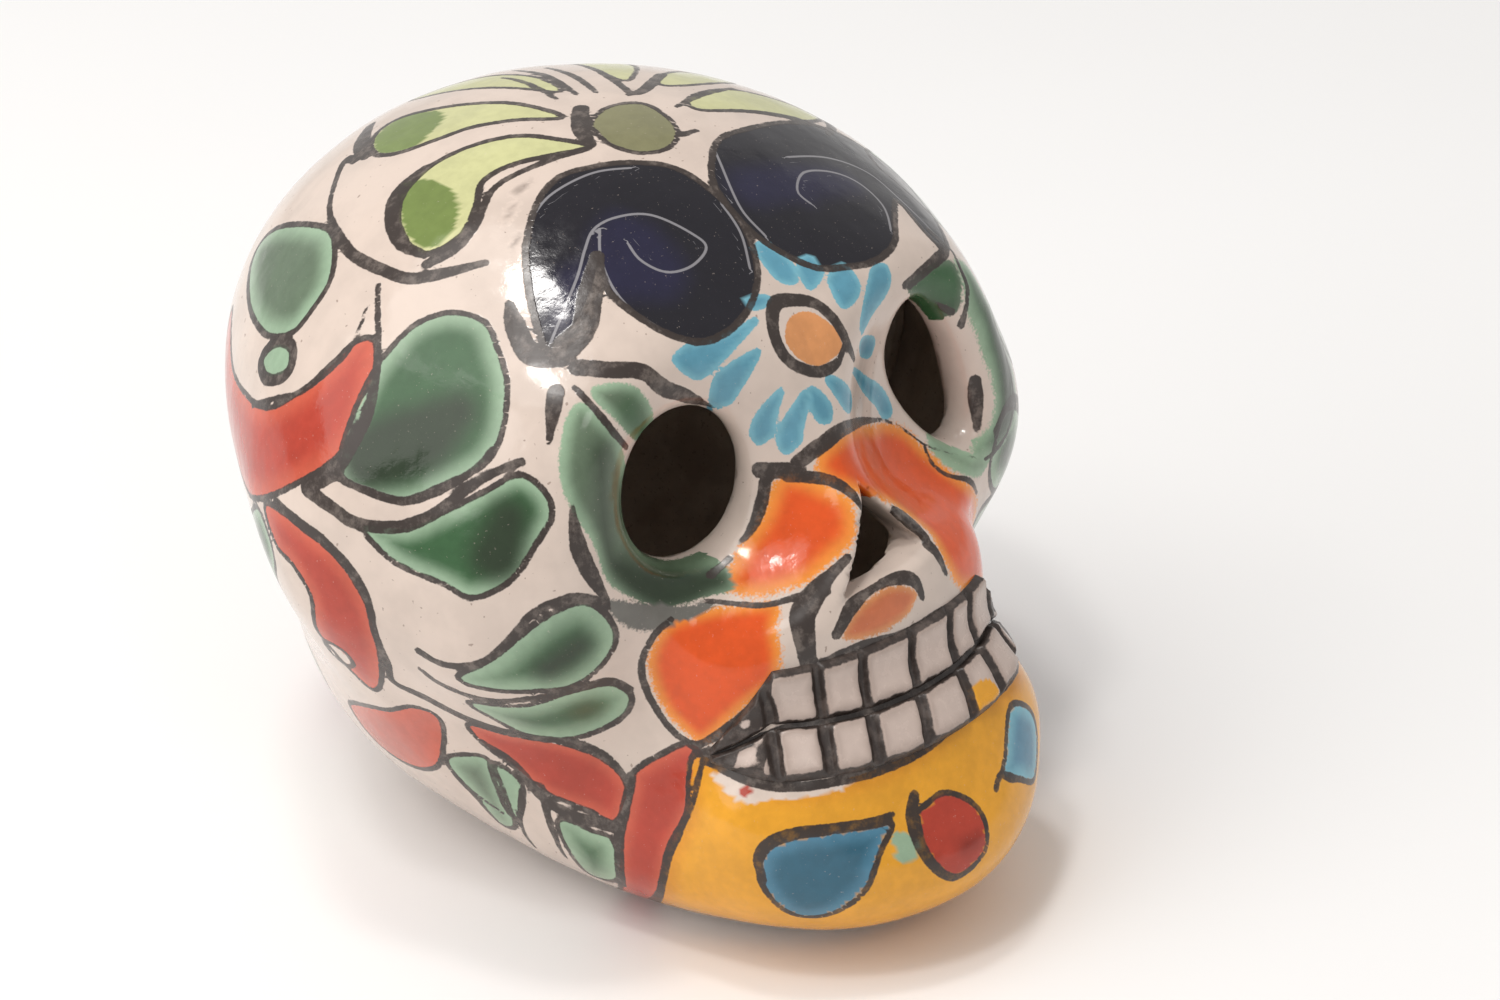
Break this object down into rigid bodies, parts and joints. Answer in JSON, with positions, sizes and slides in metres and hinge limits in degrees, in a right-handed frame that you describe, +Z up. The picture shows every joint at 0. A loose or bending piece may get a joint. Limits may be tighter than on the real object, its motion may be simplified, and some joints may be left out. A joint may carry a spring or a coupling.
{
  "type": "painted ceramic skull figure",
  "caption": "Hollow glazed earthenware skull with hand-painted leaves and flowers, cut eye and nose openings, cut clay teeth and a flat foot.",
  "frame": {"origin": "centre of the bounding box in X and Y, on the plane of the flat foot", "axes": "+Z up, -Y the way the face looks, the skull's own right side at -X"},
  "size_m": [0.1268, 0.1384, 0.1105],
  "materials": {
    "white_glaze": "glossy tin glaze, painted",
    "tooth_glaze": "glossy tin glaze",
    "bare_clay": "unglazed earthenware"
  },
  "bodies": {
    "root": {"face_shell": "white_glaze", "cranium_shell": "white_glaze", "floor_slab": "bare_clay", "seam_coil": "bare_clay", "upper_tooth_strip": "tooth_glaze", "lower_tooth_strip": "tooth_glaze"}
  },
  "joints": []
}
